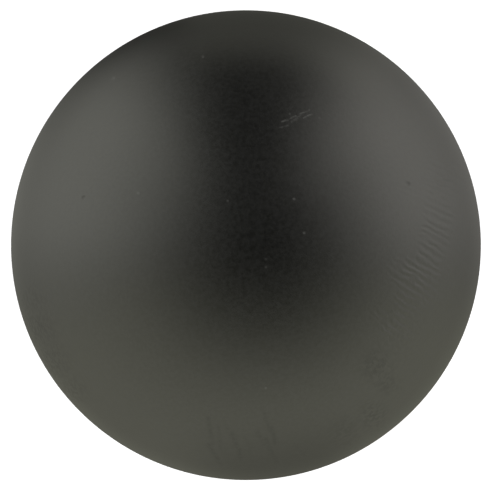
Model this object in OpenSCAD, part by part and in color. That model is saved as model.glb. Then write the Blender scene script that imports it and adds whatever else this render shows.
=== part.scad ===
// Lawn bowl, lying on its bias side with the plain side up.
//
// The bowl is a body of revolution about Z. The origin is the centre of the flat foot that it
// lies on, at the pole of the bias side. The running surface is the widest part, half way up.
// The bias comes from a metal load let into the lower side, closed by a bung and covered by a
// turned disc, the bias mount, which four countersunk pins hold.

/* [Bowl] */
// Diameter of the running surface, the largest diameter of the bowl
bowl_d = 124; // [112:1:134]
// How much narrower the bowl is along its axis than across, before the foot is cut
narrower = 7; // [5:0.5:9]

/* [Bias side] */
// Diameter of the flat foot around the bias pole
foot_d = 34; // [32:1:40]
// Distance from the edge of the foot to the inner turned ring
ring_distance = 6; // [4:0.5:9]
// Distance between the two turned rings
ring_pitch = 3; // [2:0.5:4]
// Width of a turned ring, which is half as deep
ring_w = 1; // [0.6:0.1:1.4]

/* [Bias mount] */
// Diameter of the mount
mount_d = 26; // [25:0.5:28]
// Thickness of the mount
mount_t = 3; // [2.5:0.5:4]
// How far the mount's face lies inside the foot
mount_inset = 0.3; // [0.2:0.1:0.5]
// Chamfer around the mount's face
mount_chamfer = 0.4; // [0.2:0.1:0.6]
// Width of the rings turned in the mount's face
mount_ring_w = 0.5; // [0.3:0.1:0.7]

/* [Pins] */
// Diameter of a pin's shank
pin_d = 1.6; // [1.2:0.1:1.8]
// Diameter of a pin's countersunk head
pin_head_d = 2.6; // [2.2:0.1:2.8]
// Length of a pin
pin_l = 10; // [8:0.5:14]

/* [Load] */
// Diameter of the load and of the bung over it
load_d = 16; // [12:0.5:17]
// Length of the load
load_l = 14; // [8:1:18]
// Length of the bung
bung_l = 8; // [6:0.5:12]
// Gap around each piece that is let in, where the glue is
glue_gap = 0.05; // [0.02:0.01:0.1]

/* [Hidden] */
$fn = 180;

pin_count = 4;
pin_tip_l = 1.5;
pin_hole_spare = 0.5;

// Outline of the bowl: an arc for each side, centred on the axis beyond the equator, and an arc
// for the running surface, centred on the equator. They meet, tangent to each other, on the line
// through their centres, which rises 3 for every 4 across.
seam_slope = 3 / 4;
sole_offset = narrower;
sole_r = bowl_d / 2 - sole_offset;
side_offset = seam_slope * sole_offset;
side_r = sole_r + sole_offset * 5 / 4;
past = 2 * bowl_d;

// Height of the equator above the foot
equator_z = sqrt(side_r * side_r - foot_d * foot_d / 4) - side_offset;

// Levels of the pieces on the axis, from the foot up
mount_top = mount_inset + mount_t;
bung_top = mount_top + bung_l;
load_top = bung_top + load_l;

// Pins stand half way between the load's bore and the mount's edge
pin_circle_r = (load_d + mount_d) / 4;

// Radii of the rings turned in the mount's face, inside the pins' heads
mount_rings = [pin_circle_r - pin_head_d / 2 - 1.2, pin_circle_r - pin_head_d / 2 - 2.7, 2.5];
mount_dimple_r = 0.8;

module side_sector() {
    intersection() {
        translate([0, -side_offset]) circle(r = side_r);
        polygon([
            [0, -side_offset],
            [past, seam_slope * (past - sole_offset)],
            [past, past],
            [0, past]
        ]);
    }
}

module sole_sector() {
    intersection() {
        translate([sole_offset, 0]) circle(r = sole_r);
        polygon([
            [sole_offset, 0],
            [past, seam_slope * (past - sole_offset)],
            [past, -seam_slope * (past - sole_offset)]
        ]);
    }
}

// The bowl about its equator, before the foot is cut
module whole_bowl() {
    rotate_extrude() side_sector();
    mirror([0, 0, 1]) rotate_extrude() side_sector();
    rotate_extrude() sole_sector();
}

// Turned ring of half-round section, on the lower side's arc at distance r from the axis
module side_groove(r) {
    rotate_extrude()
        translate([r, equator_z + side_offset - sqrt(side_r * side_r - r * r)])
            circle(d = ring_w);
}

// Bore for a piece of diameter d between two levels, with its glue gap
module bore(d, from, to) {
    translate([0, 0, from]) cylinder(d = d + 2 * glue_gap, h = to - from);
}

// Countersunk pin, pointing up from the mount's face; grow makes it the hole for the pin
module pin_shape(grow = 0) {
    head = pin_head_d / 2 + grow;
    shank = pin_d / 2 + grow;
    rotate_extrude()
        polygon([
            [0, 0],
            [head, 0],
            [shank, head - shank],
            [shank, pin_l - pin_tip_l],
            [0, pin_l]
        ]);
}

// Places a child at each pin of the list
module at_pins(pins) {
    for (i = pins)
        rotate([0, 0, 45 + i * 360 / pin_count])
            translate([pin_circle_r, 0, mount_inset])
                children();
}

module bowl_body() {
    color([0.12, 0.12, 0.11])
        difference() {
            translate([0, 0, equator_z]) whole_bowl();
            translate([0, 0, -past]) cylinder(r = past, h = past);
            bore(mount_d, -1, mount_top);
            bore(load_d, 0, load_top);
            side_groove(foot_d / 2 + ring_distance);
            side_groove(foot_d / 2 + ring_distance + ring_pitch);
            at_pins([1 : pin_count])
                cylinder(d = pin_d + 2 * glue_gap, h = pin_l + pin_hole_spare);
        }
}

module bias_load() {
    color([0.45, 0.46, 0.48])
        translate([0, 0, bung_top]) cylinder(d = load_d, h = load_l);
}

module load_bung() {
    color([0.2, 0.2, 0.19])
        translate([0, 0, mount_top]) cylinder(d = load_d, h = bung_l);
}

module bias_mount() {
    edge = mount_d / 2;
    color([0.88, 0.84, 0.72])
        difference() {
            translate([0, 0, mount_inset])
                rotate_extrude()
                    difference() {
                        polygon([
                            [0, 0],
                            [edge - mount_chamfer, 0],
                            [edge, mount_chamfer],
                            [edge, mount_t],
                            [0, mount_t]
                        ]);
                        for (r = mount_rings) translate([r, 0]) circle(d = mount_ring_w);
                        circle(r = mount_dimple_r);
                    }
            at_pins([1 : pin_count]) pin_shape(glue_gap);
        }
}

module mount_pin(i) {
    color([0.72, 0.58, 0.3])
        at_pins([i]) pin_shape();
}

bowl_body();
bias_load();
load_bung();
bias_mount();
mount_pin(1);  // mount_pin_1
mount_pin(2);  // mount_pin_2
mount_pin(3);  // mount_pin_3
mount_pin(4);  // mount_pin_4
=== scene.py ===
import math

import bmesh
import bpy
from mathutils import Matrix, Vector


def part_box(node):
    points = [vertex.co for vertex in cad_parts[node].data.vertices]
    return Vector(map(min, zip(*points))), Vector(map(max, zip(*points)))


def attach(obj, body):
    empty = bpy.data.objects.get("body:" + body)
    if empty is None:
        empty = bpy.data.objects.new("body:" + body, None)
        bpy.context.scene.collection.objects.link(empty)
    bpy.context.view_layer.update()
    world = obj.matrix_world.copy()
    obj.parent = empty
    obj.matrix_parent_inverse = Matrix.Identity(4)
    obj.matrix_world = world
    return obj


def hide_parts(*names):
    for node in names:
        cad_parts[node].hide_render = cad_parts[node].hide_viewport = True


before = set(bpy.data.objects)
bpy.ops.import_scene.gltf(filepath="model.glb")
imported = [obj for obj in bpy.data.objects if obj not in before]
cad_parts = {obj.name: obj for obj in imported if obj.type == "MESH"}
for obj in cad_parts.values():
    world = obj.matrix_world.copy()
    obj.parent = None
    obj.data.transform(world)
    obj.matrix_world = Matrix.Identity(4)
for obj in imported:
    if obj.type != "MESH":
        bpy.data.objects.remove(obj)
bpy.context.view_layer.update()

MM = 0.001  # shapes are worked out in millimetres, as on a maker's drawing, and built in metres
TINY = 0.001  # in mm: points closer than this to the axis, or to each other, are one


# ---------------------------------------------------------------------------------------------
# Sizes: the frame gives the outer ones, and the rest repeat the design's own dimensions, in mm
# ---------------------------------------------------------------------------------------------

body_low, body_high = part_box("bowl_body")
mount_low, mount_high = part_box("bias_mount")
bung_low, bung_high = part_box("load_bung")
load_low, load_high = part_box("bias_load")
pin_low, pin_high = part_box("mount_pin_1")

BOWL_R = body_high.x / MM
BOWL_TOP = body_high.z / MM
NARROWER = 7.0  # how much narrower the bowl is along its axis than across, before the foot is cut
FOOT_R = 17.0
FOOT_FILLET = 2.0
GLUE_GAP = 0.05  # around each piece that is let in
RING_RADII = (26.0, 23.0)  # turned rings around the foot
RING_W = 1.0

# An arc for each side, centred on the axis beyond the equator, and one for the running surface,
# the sole, centred on the equator. They meet where the line through their centres rises 3 in 4.
SOLE_OFFSET = NARROWER
SOLE_R = BOWL_R - SOLE_OFFSET
SIDE_OFFSET = SOLE_OFFSET * 3 / 4
SIDE_R = SOLE_R + SOLE_OFFSET * 5 / 4
SEAM = math.atan2(4, 3)  # the angle of that line, turned from straight up
EQUATOR_Z = BOWL_TOP - (BOWL_R - NARROWER / 2)

MOUNT_R = mount_high.x / MM
MOUNT_FACE = mount_low.z / MM
MOUNT_TOP = mount_high.z / MM
MOUNT_CHAMFER = 0.4
MOUNT_RINGS = (8.0, 6.5, 2.5)
MOUNT_RING_W = 0.5
DIMPLE_R = 0.8

LOAD_R = load_high.x / MM
LOAD_TOP = load_high.z / MM
BUNG_TOP = bung_high.z / MM

PIN_COUNT = 4
PIN_CIRCLE_R = math.hypot(*((pin_low + pin_high) / 2).xy) / MM
PIN_HEAD_R = (pin_high.x - pin_low.x) / 2 / MM
PIN_R = 0.8
PIN_TIP = 1.5
PIN_TOP = pin_high.z / MM
PIN_HOLE_TOP = PIN_TOP + 0.5

# How many faces go round each piece
BODY_FACES = 288
MOUNT_FACES = 144
LOAD_FACES = 96
PIN_FACES = 32


# ---------------------------------------------------------------------------------------------
# Mesh code: every piece is turned on a lathe, as the real one is
# ---------------------------------------------------------------------------------------------

def arc(centre, radius, start, end, step):
    """Points (distance from the axis, height) along an arc. Angles are turned from straight up."""
    count = max(2, math.ceil(abs(end - start) * radius / step))
    angles = [start + (end - start) * i / count for i in range(count + 1)]
    return [(centre[0] + radius * math.sin(a), centre[1] + radius * math.cos(a)) for a in angles]


def corner(before, point, after, radius, steps=5):
    """Points of the fillet that rounds the corner of an outline at point."""
    here = Vector(point)
    back = (Vector(before) - here).normalized()
    on = (Vector(after) - here).normalized()
    half = back.angle(on) / 2
    centre = here + (back + on).normalized() * radius / math.sin(half)
    first = (here + back * radius / math.tan(half) - centre).normalized()
    last = (here + on * radius / math.tan(half) - centre).normalized()
    return [tuple(centre + first.slerp(last, i / steps) * radius) for i in range(steps + 1)]


def rounded(points, radii):
    """An outline of straight lines with its corners rounded. A radius of 0 leaves a corner sharp.

    The outline's two ends stay as they are, so the first and the last radius are 0.
    """
    made = []
    for i, radius in enumerate(radii):
        if radius:
            made += corner(points[i - 1], points[i], points[i + 1], radius)
        else:
            made.append(points[i])
    return made


def mark_sharp(mesh, sharp=math.radians(32)):
    """Smooth shading, with a sharp edge only where two faces meet at a real corner."""
    for face in mesh.faces:
        face.smooth = True
    for edge in mesh.edges:
        edge.smooth = edge.calc_face_angle(0) < sharp


def turned(name, outline, faces_round, at=(0, 0)):
    """A closed solid turned about an upright axis, from an outline that starts and ends on it."""
    mesh = bmesh.new()
    angles = [2 * math.pi * k / faces_round for k in range(faces_round)]
    rings = []
    for r, z in outline:
        around = angles if r > TINY else [0]
        places = [(at[0] + r * math.cos(a), at[1] + r * math.sin(a), z) for a in around]
        rings.append([mesh.verts.new(Vector(place) * MM) for place in places])
    for one, other in zip(rings, rings[1:]):
        for k in range(faces_round):
            n = (k + 1) % faces_round
            corners = [one[k % len(one)], other[k % len(other)], other[n % len(other)], one[n % len(one)]]
            # where a ring is a point on the axis, two corners are the same and one of them is left out
            mesh.faces.new(list(dict.fromkeys(corners)))
    bmesh.ops.recalc_face_normals(mesh, faces=mesh.faces)
    mark_sharp(mesh)
    data = bpy.data.meshes.new(name)
    mesh.to_mesh(data)
    mesh.free()
    piece = bpy.data.objects.new(name, data)
    bpy.context.scene.collection.objects.link(piece)
    return piece


def bored(piece, cutters):
    """Cuts the cutters out of the piece, throws them away, and leaves no slivers where they cut."""
    for cutter in cutters:
        cut = piece.modifiers.new("bore", "BOOLEAN")
        cut.operation = "DIFFERENCE"
        cut.solver = "EXACT"
        cut.object = cutter
    graph = bpy.context.evaluated_depsgraph_get()
    data = bpy.data.meshes.new_from_object(piece.evaluated_get(graph))
    piece.modifiers.clear()
    piece.data = data
    mesh = bmesh.new()
    mesh.from_mesh(data)
    bmesh.ops.remove_doubles(mesh, verts=mesh.verts, dist=TINY * MM)
    bmesh.ops.dissolve_degenerate(mesh, edges=mesh.edges, dist=TINY * MM)
    many_sided = [face for face in mesh.faces if len(face.verts) > 4]
    bmesh.ops.triangulate(mesh, faces=many_sided, ngon_method="BEAUTY")
    mark_sharp(mesh)
    mesh.to_mesh(data)
    mesh.free()
    for cutter in cutters:
        bpy.data.objects.remove(cutter)


def fitted(piece, node, material):
    """Puts a finished piece in the place of its CAD node."""
    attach(piece, "root")
    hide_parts(node)
    piece.data.materials.clear()
    piece.data.materials.append(material)


def pin_places():
    """Where the pins stand, from the first one round the axis."""
    angles = [math.radians(45 + 360 / PIN_COUNT * (i + 1)) for i in range(PIN_COUNT)]
    return [(PIN_CIRCLE_R * math.cos(a), PIN_CIRCLE_R * math.sin(a)) for a in angles]


# ---------------------------------------------------------------------------------------------
# Pieces
# ---------------------------------------------------------------------------------------------

def turned_ring(r):
    """A half-round ring cut in the lower side at distance r from the axis, and its lips' angles."""
    at = math.pi - math.asin(r / SIDE_R)
    lip = 2 * math.asin(RING_W / 4 / SIDE_R)
    centre = (SIDE_R * math.sin(at), EQUATOR_Z + SIDE_OFFSET + SIDE_R * math.cos(at))
    first = at - math.pi / 2 + lip / 2
    return arc(centre, RING_W / 2, first, first - math.pi + lip, step=0.12), at - lip, at + lip


def body_outline():
    """From the top pole over the sole to the foot, and into the recess and the load's bore."""
    upper_centre = (0, EQUATOR_Z - SIDE_OFFSET)
    lower_centre = (0, EQUATOR_Z + SIDE_OFFSET)
    step = 1.3
    points = arc(upper_centre, SIDE_R, 0, SEAM, step)
    points += arc((SOLE_OFFSET, EQUATOR_Z), SOLE_R, SEAM, math.pi - SEAM, step)[1:]
    reached = math.pi - SEAM
    for r in RING_RADII:
        ring, start, end = turned_ring(r)
        points += arc(lower_centre, SIDE_R, reached, start, step)[1:-1] + ring
        reached = end
    foot_edge = math.pi - math.asin(FOOT_R / SIDE_R)
    points += arc(lower_centre, SIDE_R, reached, foot_edge - FOOT_FILLET / 2 / SIDE_R, step)[1:-1]
    above = (FOOT_R - math.cos(foot_edge), math.sin(foot_edge))
    points += corner(above, (FOOT_R, 0), (0, 0), FOOT_FILLET, steps=6)
    bore_r = LOAD_R + GLUE_GAP
    recess_r = MOUNT_R + GLUE_GAP
    # a ring near each edge of the foot keeps the foot's shading flat
    points += [(FOOT_R - 0.6, 0), (recess_r + 0.4, 0)]
    recess_edge = 0.15
    bore_edge = 0.1
    inside = [
        (FOOT_R, 0),
        (recess_r, 0),
        (recess_r, MOUNT_TOP),
        (bore_r, MOUNT_TOP),
        (bore_r, LOAD_TOP),
        (0, LOAD_TOP),
    ]
    return points + rounded(inside, (0, recess_edge, 0, bore_edge, 0, 0))[1:]


def mount_outline():
    """From the dimple in the middle of the face, over its rings and chamfer, to the back."""
    points = arc((0, MOUNT_FACE), DIMPLE_R, 0, math.pi / 2, step=0.15)
    # a ring of points to each side of a turned ring keeps the face's shading flat
    half_w = MOUNT_RING_W / 2
    beside = half_w + 0.1
    for r in reversed(MOUNT_RINGS):
        points.append((r - beside, MOUNT_FACE))
        points += arc((r, MOUNT_FACE), half_w, -math.pi / 2, math.pi / 2, step=0.08)
        points.append((r + beside, MOUNT_FACE))
    chamfered = [
        (0, MOUNT_FACE),
        (MOUNT_R - MOUNT_CHAMFER, MOUNT_FACE),
        (MOUNT_R, MOUNT_FACE + MOUNT_CHAMFER),
        (MOUNT_R, MOUNT_TOP),
        (0, MOUNT_TOP),
    ]
    edge = 0.1
    return points + rounded(chamfered, (0, edge, edge, edge, 0))[1:]


def pin_outline(grow=0):
    """A countersunk pin, from its head up. Grown, and with sharp edges, it is the hole for the pin."""
    head = PIN_HEAD_R + grow
    shank = PIN_R + grow
    points = [
        (0, MOUNT_FACE),
        (head, MOUNT_FACE),
        (shank, MOUNT_FACE + head - shank),
        (shank, PIN_TOP - PIN_TIP),
        (0, PIN_TOP),
    ]
    edge = 0.06
    return points if grow else rounded(points, (0, edge, edge, edge, 0))


def slug_outline(bottom, top, edge):
    """A round slug that fits the load's bore, with its edges broken."""
    points = [(0, bottom), (LOAD_R, bottom), (LOAD_R, top), (0, top)]
    return rounded(points, (0, edge, edge, 0))


def make_body(material):
    """The bowl, with a hole for each pin in the recess."""
    body = turned("bowl_body_turned", body_outline(), BODY_FACES)
    hole_r = PIN_R + GLUE_GAP
    hole = [(0, 0), (hole_r, 0), (hole_r, PIN_HOLE_TOP), (0, PIN_HOLE_TOP)]
    bored(body, [turned("hole", hole, PIN_FACES, at) for at in pin_places()])
    fitted(body, "bowl_body", material)


def make_mount(material):
    """The disc, with a countersunk hole for each pin, cut from outside its face."""
    mount = turned("bias_mount_turned", mount_outline(), MOUNT_FACES)
    outside = MOUNT_FACE - 0.5
    hole = [(0, outside), (PIN_HEAD_R + GLUE_GAP, outside)] + pin_outline(GLUE_GAP)[1:]
    bored(mount, [turned("hole", hole, PIN_FACES, at) for at in pin_places()])
    fitted(mount, "bias_mount", material)


def make_pins(material):
    """The pins, head down, flush with the mount's face."""
    for i, at in enumerate(pin_places()):
        pin = turned(f"mount_pin_{i + 1}_turned", pin_outline(), PIN_FACES, at)
        fitted(pin, f"mount_pin_{i + 1}", material)


def dished(outline, radius, depth):
    """The outline of a slug with a shallow round hollow in its upper end."""
    top = outline[-1][1]
    curve = (radius * radius + depth * depth) / 2 / depth
    hollow = arc((0, top - depth + curve), curve, math.pi - math.asin(radius / curve), math.pi, step=0.5)
    return outline[:-1] + hollow


def make_load(material):
    """The load, with the hollow that lead leaves as it cools."""
    slug = slug_outline(BUNG_TOP, LOAD_TOP, edge=0.4)
    load = turned("bias_load_cast", dished(slug, radius=LOAD_R * 0.7, depth=0.6), LOAD_FACES)
    fitted(load, "bias_load", material)


def make_bung(material):
    """The bung, with the lathe's centre mark in its inner end."""
    slug = slug_outline(MOUNT_TOP, BUNG_TOP, edge=0.25)
    bung = turned("load_bung_turned", dished(slug, radius=1.2, depth=0.5), LOAD_FACES)
    fitted(bung, "load_bung", material)


# ---------------------------------------------------------------------------------------------
# Node trees
# ---------------------------------------------------------------------------------------------

class Graph:
    """Makes and joins the nodes of one node tree. A source is a value or another node's output."""

    def __init__(self, tree):
        self.nodes = tree.nodes
        self.links = tree.links

    def set(self, socket, source):
        if isinstance(source, bpy.types.NodeSocket):
            self.links.new(source, socket)
        else:
            socket.default_value = source

    def node(self, kind, inputs=None, **settings):
        """A new node with some of its inputs given, by name or by number, and some of its settings."""
        made = self.nodes.new("ShaderNode" + kind)
        for name, value in settings.items():
            setattr(made, name, value)
        for name, source in (inputs or {}).items():
            self.set(made.inputs[name], source)
        return made

    def math(self, operation, *sources):
        made = self.node("Math", operation=operation)
        for socket, source in zip(made.inputs, sources):
            self.set(socket, source)
        return made.outputs[0]

    def vector(self, operation, *sources, output=0):
        made = self.node("VectorMath", operation=operation)
        for socket, source in zip(made.inputs, sources):
            self.set(socket, source)
        return made.outputs[output]

    def scaled(self, vector, factor):
        made = self.node("VectorMath", {"Scale": factor}, operation="SCALE")
        self.set(made.inputs[0], vector)
        return made.outputs[0]

    def ease(self, value, start, end, low=0.0, high=1.0):
        """Eases from low to high while value goes from start to end."""
        ends = {"Value": value, "From Min": start, "From Max": end, "To Min": low, "To Max": high}
        return self.node("MapRange", ends, interpolation_type="SMOOTHSTEP").outputs[0]

    def mix(self, factor, one, other):
        """From one colour to the other as factor goes from 0 to 1."""
        # the node has a set of sockets for each type of data, and these are the ones for colours
        made = self.node("Mix", {0: factor, 6: one, 7: other}, data_type="RGBA")
        return made.outputs[2]

    def total(self, *terms, start=0.0):
        """The sum of (value, factor) terms, added to start."""
        found = start
        for value, factor in terms:
            found = self.math("MULTIPLY_ADD", value, factor, found)
        return found

    def noise(self, place, size, detail=2.0, roughness=0.5):
        """Cloudy noise from 0 to 1, with clouds about as large as size, in metres."""
        inputs = {"Vector": place, "Scale": 1 / size, "Detail": detail, "Roughness": roughness}
        return self.node("TexNoise", inputs, noise_dimensions="3D").outputs["Fac"]


def new_material(name):
    """A material, its graph and its shader."""
    made = bpy.data.materials.new(name)
    made.use_nodes = True
    return made, Graph(made.node_tree), made.node_tree.nodes["Principled BSDF"]


# ---------------------------------------------------------------------------------------------
# Materials
# ---------------------------------------------------------------------------------------------

JET_BLACK = (0.0006, 0.0007, 0.0006, 1)
SOFT_BLACK = (0.0072, 0.0074, 0.0072, 1)
WORN_GREY = (0.016, 0.016, 0.015, 1)
CHALK_GREY = (0.035, 0.035, 0.033, 1)
DUST = (0.055, 0.050, 0.040, 1)
TURNED_BLACK = (0.003, 0.003, 0.003, 1)
TURNED_GREY = (0.014, 0.014, 0.013, 1)
OLD_GLUE = (0.085, 0.050, 0.020, 1)
PALE_IVORY = (0.62, 0.54, 0.38, 1)
YELLOWED_IVORY = (0.50, 0.41, 0.25, 1)
BROWNED_IVORY = (0.36, 0.28, 0.15, 1)
GRIME = (0.075, 0.055, 0.032, 1)
BRASS = (0.66, 0.47, 0.20, 1)
BRIGHT_BRASS = (0.80, 0.60, 0.30, 1)
BROWN_TARNISH = (0.27, 0.17, 0.075, 1)
DULL_LEAD = (0.27, 0.28, 0.30, 1)
BARE_LEAD = (0.40, 0.41, 0.43, 1)
LEAD_OXIDE = (0.14, 0.145, 0.15, 1)

# Marks of use on the plain side, in mm from the axis, as seen from above.
# Specks, pits, smears and patches of chatter: x, y, radius, strength
SPECKS = (
    (12.0, 11.5, 0.55, 1.0), (14.5, 3.0, 0.55, 0.9), (-4.5, 11.0, 0.5, 0.6), (5.0, -3.5, 0.45, 0.4),
    (5.0, -5.5, 0.5, 0.5), (5.0, -36.0, 0.5, 0.9), (-11.0, 48.0, 0.6, 0.6), (-34.0, 43.0, 0.8, 1.0),
    (-27.0, 13.0, 0.6, 0.8), (11.0, 33.0, 0.5, 0.5), (9.0, 29.5, 0.45, 0.5), (10.5, 30.0, 0.45, 0.5),
    (12.5, 31.5, 0.7, 0.35), (18.5, 32.0, 0.5, 0.5),
)
PITS = ((-41.0, 12.0, 0.7, 1.0), (41.0, 15.5, 0.9, 0.9))
SMEARS = (
    (-54.0, -14.0, 7.0, 0.6), (-52.5, -21.0, 8.0, 0.8), (-49.0, -29.5, 8.0, 0.7), (-44.0, -37.0, 6.0, 0.5),
    (33.0, -30.5, 7.0, 0.8), (36.0, -35.0, 6.0, 0.7), (32.0, -43.5, 7.0, 0.7), (25.0, -47.5, 7.0, 0.6),
)
CHATTER_PATCHES = (
    (50.5, 18.0, 8.0, 1.8), (43.5, 14.5, 6.0, 0.5), (43.0, -9.0, 10.0, 1.4), (38.0, -21.0, 10.0, 2.2),
    (34.0, -29.5, 7.0, 1.8),
)
# Scratches and rubs: from x, from y, to x, to y, width, strength
SCRATCHES = (
    (9.0, 31.0, 10.5, 31.5, 0.8, 1.0), (10.5, 31.5, 12.5, 32.5, 0.8, 0.9),
    (11.5, 31.0, 13.0, 32.0, 0.9, 0.6), (13.5, 33.0, 16.0, 34.0, 0.6, 0.8),
    (14.5, 32.0, 16.5, 33.0, 0.7, 1.0), (12.5, 32.0, 14.5, 33.0, 0.6, 0.5),
    (8.5, 29.5, 10.5, 30.0, 0.6, 0.5),
)
RUBS = (
    (-9.5, -44.0, -8.5, -51.0, 2.2, 0.7), (-9.5, -51.0, -6.5, -56.5, 2.2, 0.8),
    (-7.0, -45.5, -6.5, -52.0, 2.2, 0.5), (-3.5, -48.0, -1.0, -55.0, 2.4, 0.8),
    (-5.5, -45.0, -3.5, -49.0, 2.0, 0.4), (0.0, -49.0, 1.5, -54.0, 1.8, 0.3),
    (4.5, -42.0, 6.0, -47.0, 1.8, 0.5), (6.5, -46.5, 7.5, -50.5, 2.4, 0.8),
    (5.0, -49.5, 8.0, -56.0, 2.2, 0.7), (3.0, -47.5, 4.5, -51.0, 2.2, 0.6),
    (12.5, -51.0, 15.0, -54.0, 1.8, 0.4),
)


def height_of(g, place):
    """How high a place is, or how far up a direction points."""
    return g.node("SeparateXYZ", {"Vector": place}).outputs["Z"]


def axis_distance(g, place):
    """How far a place is from the bowl's axis."""
    return g.vector("LENGTH", g.vector("MULTIPLY", place, (1, 1, 0)), output="Value")


def relieve(g, shader, *terms):
    """Fine relief, the sum of (value, height in mm) terms."""
    bump = g.node("Bump", {"Height": g.total(*terms), "Distance": MM, "Strength": 1.0})
    g.set(shader.inputs["Normal"], bump.outputs["Normal"])


def spots(g, place, marks):
    """Up to each round mark's strength in its middle, fading out at its radius."""
    found = 0.0
    for x, y, radius, strength in marks:
        away = g.vector("DISTANCE", place, (x * MM, y * MM, 0), output="Value")
        found = g.math("MAXIMUM", found, g.ease(away, radius * MM, 0, 0, strength))
    return found


def strokes(g, place, marks):
    """Up to each straight mark's strength along its middle, fading out at half its width."""
    found = 0.0
    for x0, y0, x1, y1, width, strength in marks:
        start = Vector((x0, y0, 0)) * MM
        run = Vector((x1, y1, 0)) * MM - start
        offset = g.vector("SUBTRACT", place, tuple(start))
        part = g.vector("DOT_PRODUCT", offset, tuple(run / run.length_squared), output="Value")
        part = g.math("MINIMUM", g.math("MAXIMUM", part, 0.0), 1.0)
        away = g.vector("DISTANCE", offset, g.scaled(tuple(run), part), output="Value")
        found = g.math("MAXIMUM", found, g.ease(away, width * MM / 2, 0, 0, strength))
    return found


def near_rings(g, place, radii, half_width):
    """1 along the rings of the given radii about the axis, fading out half_width to each side."""
    distance = axis_distance(g, place)
    found = 0.0
    for radius in radii:
        away = g.math("ABSOLUTE", g.math("SUBTRACT", distance, radius * MM))
        found = g.math("MAXIMUM", found, g.ease(away, half_width * MM, half_width * MM / 3))
    return found


def turning_marks(g, place, pitch):
    """The fine rings that a lathe's tool leaves, uneven and about pitch apart, from 0 to 1."""
    along = g.node("CombineXYZ", {"X": axis_distance(g, place)}).outputs[0]
    return g.noise(along, pitch * MM)


def chatter(g, place):
    """A curved band of short strokes, left by polishing, that radiate from a point far off.

    The strokes rise and fall from -1 to 1 times their strength.
    """
    centre = Vector((-70, 65, 0)) * MM
    reach = 135.0  # mm from the centre to the band
    pitch = 1.7  # mm between strokes, in the band
    offset = g.node("SeparateXYZ", {"Vector": g.vector("SUBTRACT", place, tuple(centre))}).outputs
    bearing = g.math("ARCTAN2", offset["Y"], offset["X"])
    uneven = ((g.noise(place, 7 * MM), 9.0), (g.noise(place, 2.5 * MM), 3.5))
    phase = g.total((bearing, 2 * math.pi * reach / pitch), *uneven)
    # the band runs round the bowl, nearer to the axis as it comes towards the front
    middle_at_right = 44.9 * MM
    further_per_degree = 0.19 * MM
    raggedness = 6 * MM
    here = g.node("SeparateXYZ", {"Vector": place}).outputs
    around = g.math("MULTIPLY", g.math("ARCTAN2", here["Y"], here["X"]), 180 / math.pi)
    ragged = g.noise(place, 3 * MM)
    middle = g.total((around, further_per_degree), (ragged, raggedness), start=middle_at_right)
    out = g.math("ABSOLUTE", g.math("SUBTRACT", g.vector("LENGTH", place, output="Value"), middle))
    along = g.math("ABSOLUTE", g.math("ADD", around, 3.0))
    band = g.math("MULTIPLY", g.ease(along, 28, 22), g.ease(out, 5 * MM, 2.5 * MM))
    inside = g.math("MAXIMUM", band, spots(g, place, CHATTER_PATCHES))
    patchy = g.ease(g.noise(place, 3.5 * MM), 0.3, 0.55)
    return g.math("MULTIPLY", g.math("SINE", phase), g.math("MULTIPLY", inside, patchy))


def scattered_specks(g, place):
    """Small specks, far apart and scattered without order."""
    spacing = 8 * MM
    radius = 0.4 * MM
    found = g.node("TexVoronoi", {"Vector": place, "Scale": 1 / spacing}, voronoi_dimensions="3D")
    return g.ease(found.outputs["Distance"], radius / spacing, radius / spacing / 3)


def running_scuffs(g, place):
    """Short fine scuffs round the sole, where the bowl runs. They lie along the way it runs."""
    stretched = g.vector("MULTIPLY", place, (0.1, 0.1, 2.0))
    scuff = g.ease(g.noise(stretched, 1.2 * MM), 0.56, 0.7)
    away = g.math("ABSOLUTE", g.math("SUBTRACT", height_of(g, place), EQUATOR_Z * MM))
    return g.math("MULTIPLY", scuff, g.ease(away, 11 * MM, 3 * MM))


def foot_wear(g, place):
    """The foot, rubbed dull all over and a little more in spots by what it stands on."""
    rubs = g.noise(place, 0.6 * MM, detail=4, roughness=0.6)
    here = g.ease(height_of(g, place), 0.3 * MM, 0.03 * MM)
    return g.math("MULTIPLY", here, g.ease(rubs, 0.35, 0.7, 0.3, 1.0))


def plain_side_marks(g, place):
    """The marks of use on the plain side, each kind from 0 to 1, but for the chatter's strokes."""
    from_above = g.vector("MULTIPLY", place, (1, 1, 0))
    here = g.ease(height_of(g, place), (EQUATOR_Z + 2) * MM, (EQUATOR_Z + 10) * MM)
    broken = g.ease(g.noise(place, 1.2 * MM), 0.4, 0.6)
    chipped = g.ease(g.noise(place, 0.7 * MM), 0.35, 0.6, 0.2, 1.0)
    scratched = g.math("MULTIPLY", strokes(g, from_above, SCRATCHES), chipped)
    smeared = g.math("MULTIPLY", spots(g, from_above, SMEARS), broken)
    rubbed = g.math("MULTIPLY", strokes(g, from_above, RUBS), g.math("MULTIPLY_ADD", broken, 0.5, 0.5))
    marks = {
        "chalk": g.math("MAXIMUM", spots(g, from_above, SPECKS), scratched),
        "rubbed": g.math("MAXIMUM", smeared, rubbed),
        "chattered": chatter(g, from_above),
        "pitted": spots(g, from_above, PITS),
    }
    return {kind: g.math("MULTIPLY", amount, here) for kind, amount in marks.items()}


def bias_side_marks(g, place):
    """Stray chalk and the dust in the turned rings, from 0 to 1, on the side with the mount."""
    here = g.ease(height_of(g, place), EQUATOR_Z * MM, (EQUATOR_Z - 8) * MM)
    settled = g.ease(g.noise(place, 5 * MM, detail=4), 0.35, 0.65, 0.15, 1.0)
    in_rings = g.math("MULTIPLY", near_rings(g, place, RING_RADII, RING_W / 2 + 0.1), settled)
    marks = {"chalk": scattered_specks(g, place), "dust": in_rings}
    return {kind: g.math("MULTIPLY", amount, here) for kind, amount in marks.items()}


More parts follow.
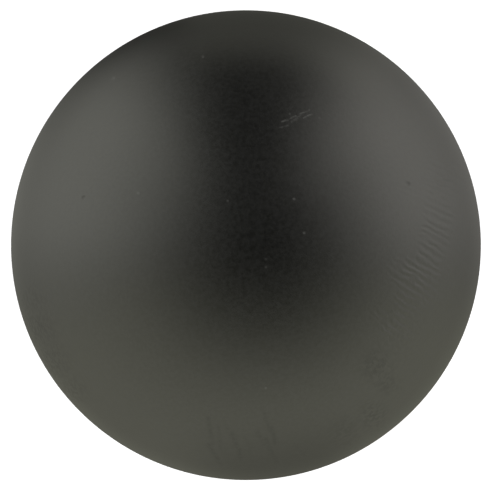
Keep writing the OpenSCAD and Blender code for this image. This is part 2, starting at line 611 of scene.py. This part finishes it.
def black_composition():
    """Satin black composition, finely mottled, with the small marks of use."""
    material, g, shader = new_material("black_composition")
    place = g.node("TexCoord").outputs["Object"]
    mottle = g.noise(place, 1 * MM, detail=3, roughness=0.6)
    cloud = g.noise(place, 18 * MM)
    plain = plain_side_marks(g, place)
    bias = bias_side_marks(g, place)
    chalk = g.math("MAXIMUM", plain["chalk"], bias["chalk"])
    scuffs = running_scuffs(g, place)
    worn = g.math("MAXIMUM", scuffs, foot_wear(g, place))

    tone = g.total((g.ease(mottle, 0.25, 0.75), 0.75), (cloud, 0.25))
    black = g.mix(tone, JET_BLACK, SOFT_BLACK)
    greyed = g.mix(worn, black, WORN_GREY)
    dusty = g.mix(bias["dust"], greyed, DUST)
    g.set(shader.inputs["Base Color"], g.mix(chalk, dusty, CHALK_GREY))
    satin = 0.315
    rough = g.total((cloud, 0.04), (mottle, 0.05), (chalk, 0.2), (plain["rubbed"], 0.2), (worn, 0.14),
                    (bias["dust"], 0.3), start=satin)
    g.set(shader.inputs["Roughness"], rough)
    shader.inputs["IOR"].default_value = 1.5
    relieve(g, shader, (mottle, 0.02), (plain["chattered"], 0.035), (plain["rubbed"], -0.02),
            (plain["pitted"], -0.2), (chalk, 0.01), (scuffs, -0.012), (bias["dust"], 0.03))
    return material


def aged_ivory_plastic():
    """Ivory-coloured plastic, turned to a fine finish, yellowed, with grime in its rings."""
    material, g, shader = new_material("mount_disc")
    place = g.node("TexCoord").outputs["Object"]
    turning = turning_marks(g, place, 0.14)
    cloud = g.noise(place, 5 * MM, detail=3)
    patchy = g.ease(g.noise(place, 1.2 * MM, detail=3, roughness=0.6), 0.3, 0.6, 0.35, 1.0)
    rings = near_rings(g, place, MOUNT_RINGS, MOUNT_RING_W / 2 + 0.08)
    dimple = g.ease(axis_distance(g, place), DIMPLE_R * MM, DIMPLE_R * MM / 2)
    edge = g.ease(axis_distance(g, place), (MOUNT_R - 0.8) * MM, MOUNT_R * MM, 0, 0.7)
    grime = g.math("MULTIPLY", g.math("MAXIMUM", g.math("MAXIMUM", rings, dimple), edge), patchy)
    specks = scattered_specks(g, g.scaled(place, 3.0))

    clean = g.mix(g.ease(cloud, 0.3, 0.7), PALE_IVORY, YELLOWED_IVORY)
    lined = g.mix(g.math("MULTIPLY", turning, 0.25), clean, BROWNED_IVORY)
    dirt = g.math("MAXIMUM", grime, g.math("MULTIPLY", specks, 0.6))
    g.set(shader.inputs["Base Color"], g.mix(dirt, lined, GRIME))
    polished = 0.2
    rough = g.total((turning, 0.12), (cloud, 0.08), (grime, 0.25), start=polished)
    g.set(shader.inputs["Roughness"], rough)
    relieve(g, shader, (turning, 0.008), (cloud, 0.03), (grime, 0.01))
    return material


def tarnished_brass():
    """Brass, filed flush across the heads, and browned where hands never reach."""
    material, g, shader = new_material("pin_brass")
    place = g.node("TexCoord").outputs["Object"]
    filing = g.noise(g.vector("MULTIPLY", place, (0.5, 6, 1)), 1 * MM)
    tarnish = g.ease(g.noise(place, 1.1 * MM, detail=4, roughness=0.6), 0.42, 0.62)
    shine = g.mix(filing, BRASS, BRIGHT_BRASS)
    g.set(shader.inputs["Base Color"], g.mix(tarnish, shine, BROWN_TARNISH))
    filed = 0.22
    g.set(shader.inputs["Roughness"], g.total((tarnish, 0.22), (filing, 0.12), start=filed))
    shader.inputs["Metallic"].default_value = 1
    relieve(g, shader, (filing, 0.01), (tarnish, 0.006))
    return material


def cast_lead():
    """Lead as cast, dull and a little lumpy, with darker oxide in patches."""
    material, g, shader = new_material("load_metal")
    place = g.node("TexCoord").outputs["Object"]
    skin = g.noise(place, 1.6 * MM, detail=4, roughness=0.6)
    oxide = g.ease(g.noise(place, 6 * MM, detail=3), 0.4, 0.62)
    bare = g.mix(skin, DULL_LEAD, BARE_LEAD)
    g.set(shader.inputs["Base Color"], g.mix(oxide, bare, LEAD_OXIDE))
    cast = 0.38
    g.set(shader.inputs["Roughness"], g.total((oxide, 0.2), (skin, 0.12), start=cast))
    shader.inputs["Metallic"].default_value = 1
    relieve(g, shader, (skin, 0.06))
    return material


def turned_composition():
    """The body's own composition, dull from the lathe, with old glue round its edge."""
    material, g, shader = new_material("bung_composition")
    place = g.node("TexCoord").outputs["Object"]
    turning = turning_marks(g, place, 0.3)
    mottle = g.noise(place, 1.5 * MM, detail=3, roughness=0.6)
    near_edge = g.ease(axis_distance(g, place), (LOAD_R - 1.2) * MM, LOAD_R * MM)
    glue = g.math("MULTIPLY", near_edge, g.ease(g.noise(place, 2 * MM), 0.42, 0.6, 0, 0.8))
    black = g.mix(mottle, TURNED_BLACK, TURNED_GREY)
    g.set(shader.inputs["Base Color"], g.mix(glue, black, OLD_GLUE))
    turned_dull = 0.4
    rough = g.total((turning, 0.12), (mottle, 0.08), (glue, -0.15), start=turned_dull)
    g.set(shader.inputs["Roughness"], rough)
    relieve(g, shader, (turning, 0.02), (mottle, 0.02), (glue, 0.02))
    return material


# ---------------------------------------------------------------------------------------------
# Floor, light and camera
# ---------------------------------------------------------------------------------------------

def make_floor():
    """A plain white floor. It gives off a little light, and gloss sees the tent in its place."""
    half = 3.0
    glow = 0.4
    corners = [(-half, -half, 0), (half, -half, 0), (half, half, 0), (-half, half, 0)]
    data = bpy.data.meshes.new("floor")
    data.from_pydata(corners, [], [(0, 1, 2, 3)])
    floor = bpy.data.objects.new("floor", data)
    bpy.context.scene.collection.objects.link(floor)
    paint, _, shader = new_material("floor_white")
    shader.inputs["Base Color"].default_value = (0.9, 0.9, 0.9, 1)
    shader.inputs["Roughness"].default_value = 0.9
    shader.inputs["Specular IOR Level"].default_value = 0
    shader.inputs["Emission Color"].default_value = (1, 1, 1, 1)
    shader.inputs["Emission Strength"].default_value = glow
    data.materials.append(paint)
    floor.visible_glossy = False


# The light tent, as the bowl's gloss sees it, with all angles in degrees. A bearing is turned from
# +X towards +Y. A panel is as bright as its light for full degrees to each side of its bearing, and
# has faded out where it is gone. Heights are angles from the zenith, so the horizon is at 90.
# Seen in the table, below it, a panel is low times as bright.
TENT_PANELS = (
    {"bearing": 155, "full": 17, "gone": 55, "light": (2.35, 2.35, 2.1), "low": 0.9},
    {"bearing": 26, "full": 13, "gone": 53, "light": (2.45, 2.4, 2.2), "low": 0.8},
    {"bearing": 272, "full": 60, "gone": 92, "light": (1.55, 1.55, 1.25), "low": 1.05},
)
PANEL_TO_TABLE = (80, 130)
# The table's far edge and its shades each fade in between two heights. Depth is how dark a shade is.
FAR_EDGE = {"bearing": 78, "full": 25, "gone": 32, "light": (0.65, 0.65, 0.55), "heights": (90, 110)}
SHADE_BEHIND = {"bearing": 100, "full": 15, "gone": 70, "heights": (110, 165), "depth": 1.0}
SHADE_IN_FRONT = {"bearing": 278, "full": 10, "gone": 28, "heights": (90, 120), "depth": 0.3}
# The table dims towards the bowl's foot, and again under it: from height, to height, to what share
DIMMING = ((80, 150, 0.24), (150, 180, 0.2))
# The opening that the camera looks through, tilted to the right, is dark in its middle
OPENING_TILT = 8
OPENING_ENDS = (10, 80)


def tent_light(g, direction):
    """The tent's light from a direction."""
    degree = 180 / math.pi
    level = g.vector("NORMALIZE", g.vector("MULTIPLY", direction, (1, 1, 0)))
    from_zenith = g.math("MULTIPLY", g.math("ARCCOSINE", height_of(g, direction)), degree)

    def facing(part):
        """1 in front of a part of the tent, and 0 where it is gone."""
        bearing = math.radians(part["bearing"])
        middle = (math.cos(bearing), math.sin(bearing), 0)
        along = g.vector("DOT_PRODUCT", level, middle, output="Value")
        aside = g.math("MULTIPLY", g.math("ARCCOSINE", along), degree)
        return g.ease(aside, part["full"], part["gone"], 1, 0)

    light = (0, 0, 0)
    for panel in TENT_PANELS:
        down = g.ease(from_zenith, *PANEL_TO_TABLE, 1, panel["low"])
        light = g.vector("ADD", light, g.scaled(panel["light"], g.math("MULTIPLY", facing(panel), down)))

    tilt = math.radians(OPENING_TILT)
    along = g.vector("DOT_PRODUCT", direction, (math.sin(tilt), 0, math.cos(tilt)), output="Value")
    opening = g.ease(g.math("MULTIPLY", g.math("ARCCOSINE", along), degree), *OPENING_ENDS)
    light = g.scaled(light, opening)
    # the table is darkest behind the bowl, away from the panels, and a little dim in front
    for shade in (SHADE_BEHIND, SHADE_IN_FRONT):
        dark = g.math("MULTIPLY", facing(shade), g.ease(from_zenith, *shade["heights"]))
        light = g.scaled(light, g.total((dark, -shade["depth"]), start=1.0))
    # beyond the shade, the table's far edge is lit again
    lit_edge = g.math("MULTIPLY", facing(FAR_EDGE), g.ease(from_zenith, *FAR_EDGE["heights"]))
    light = g.vector("ADD", light, g.scaled(FAR_EDGE["light"], lit_edge))
    for start, end, share in DIMMING:
        light = g.scaled(light, g.ease(from_zenith, start, end, 1, share))
    return light


def make_world():
    """Even daylight for everything but gloss, which sees the tent."""
    world = bpy.data.worlds.new("studio")
    bpy.context.scene.world = world
    world.use_nodes = True
    world.cycles.sampling_method = "NONE"
    world.node_tree.nodes.clear()
    g = Graph(world.node_tree)
    direction = g.node("TexCoord").outputs["Generated"]
    tent = g.node("Background", {"Color": tent_light(g, direction), "Strength": 1.0}).outputs[0]
    daylight_strength = 1.25
    daylight = g.node("Background", {"Color": (1, 1, 1, 1), "Strength": daylight_strength}).outputs[0]
    is_gloss = g.node("LightPath").outputs["Is Glossy Ray"]
    seen = g.node("MixShader", {0: is_gloss, 1: daylight, 2: tent}).outputs[0]
    g.node("OutputWorld", {"Surface": seen})


def make_camera():
    """Straight above the bowl, a long way off, so that the sole nearly fills the view."""
    distance = 1.0  # from the equator
    fill = 0.9495  # share of the picture's width that the bowl takes
    aside = (0.00041, -0.00062)
    # angle between the axis and the line of sight that touches the sole
    reach = math.hypot(SOLE_OFFSET * MM, distance)
    edge = math.atan2(SOLE_OFFSET * MM, distance) + math.asin(SOLE_R * MM / reach)
    data = bpy.data.cameras.new("camera")
    data.sensor_width = 36
    data.lens = fill * data.sensor_width / 2 / math.tan(edge)
    data.clip_start = 0.01
    data.clip_end = 20
    camera = bpy.data.objects.new("camera", data)
    bpy.context.scene.collection.objects.link(camera)
    camera.location = (*aside, EQUATOR_Z * MM + distance)
    bpy.context.scene.camera = camera


make_body(black_composition())
make_mount(aged_ivory_plastic())
make_pins(tarnished_brass())
make_load(cast_lead())
make_bung(turned_composition())
make_floor()
make_world()
make_camera()
bpy.context.scene.view_settings.view_transform = "Standard"
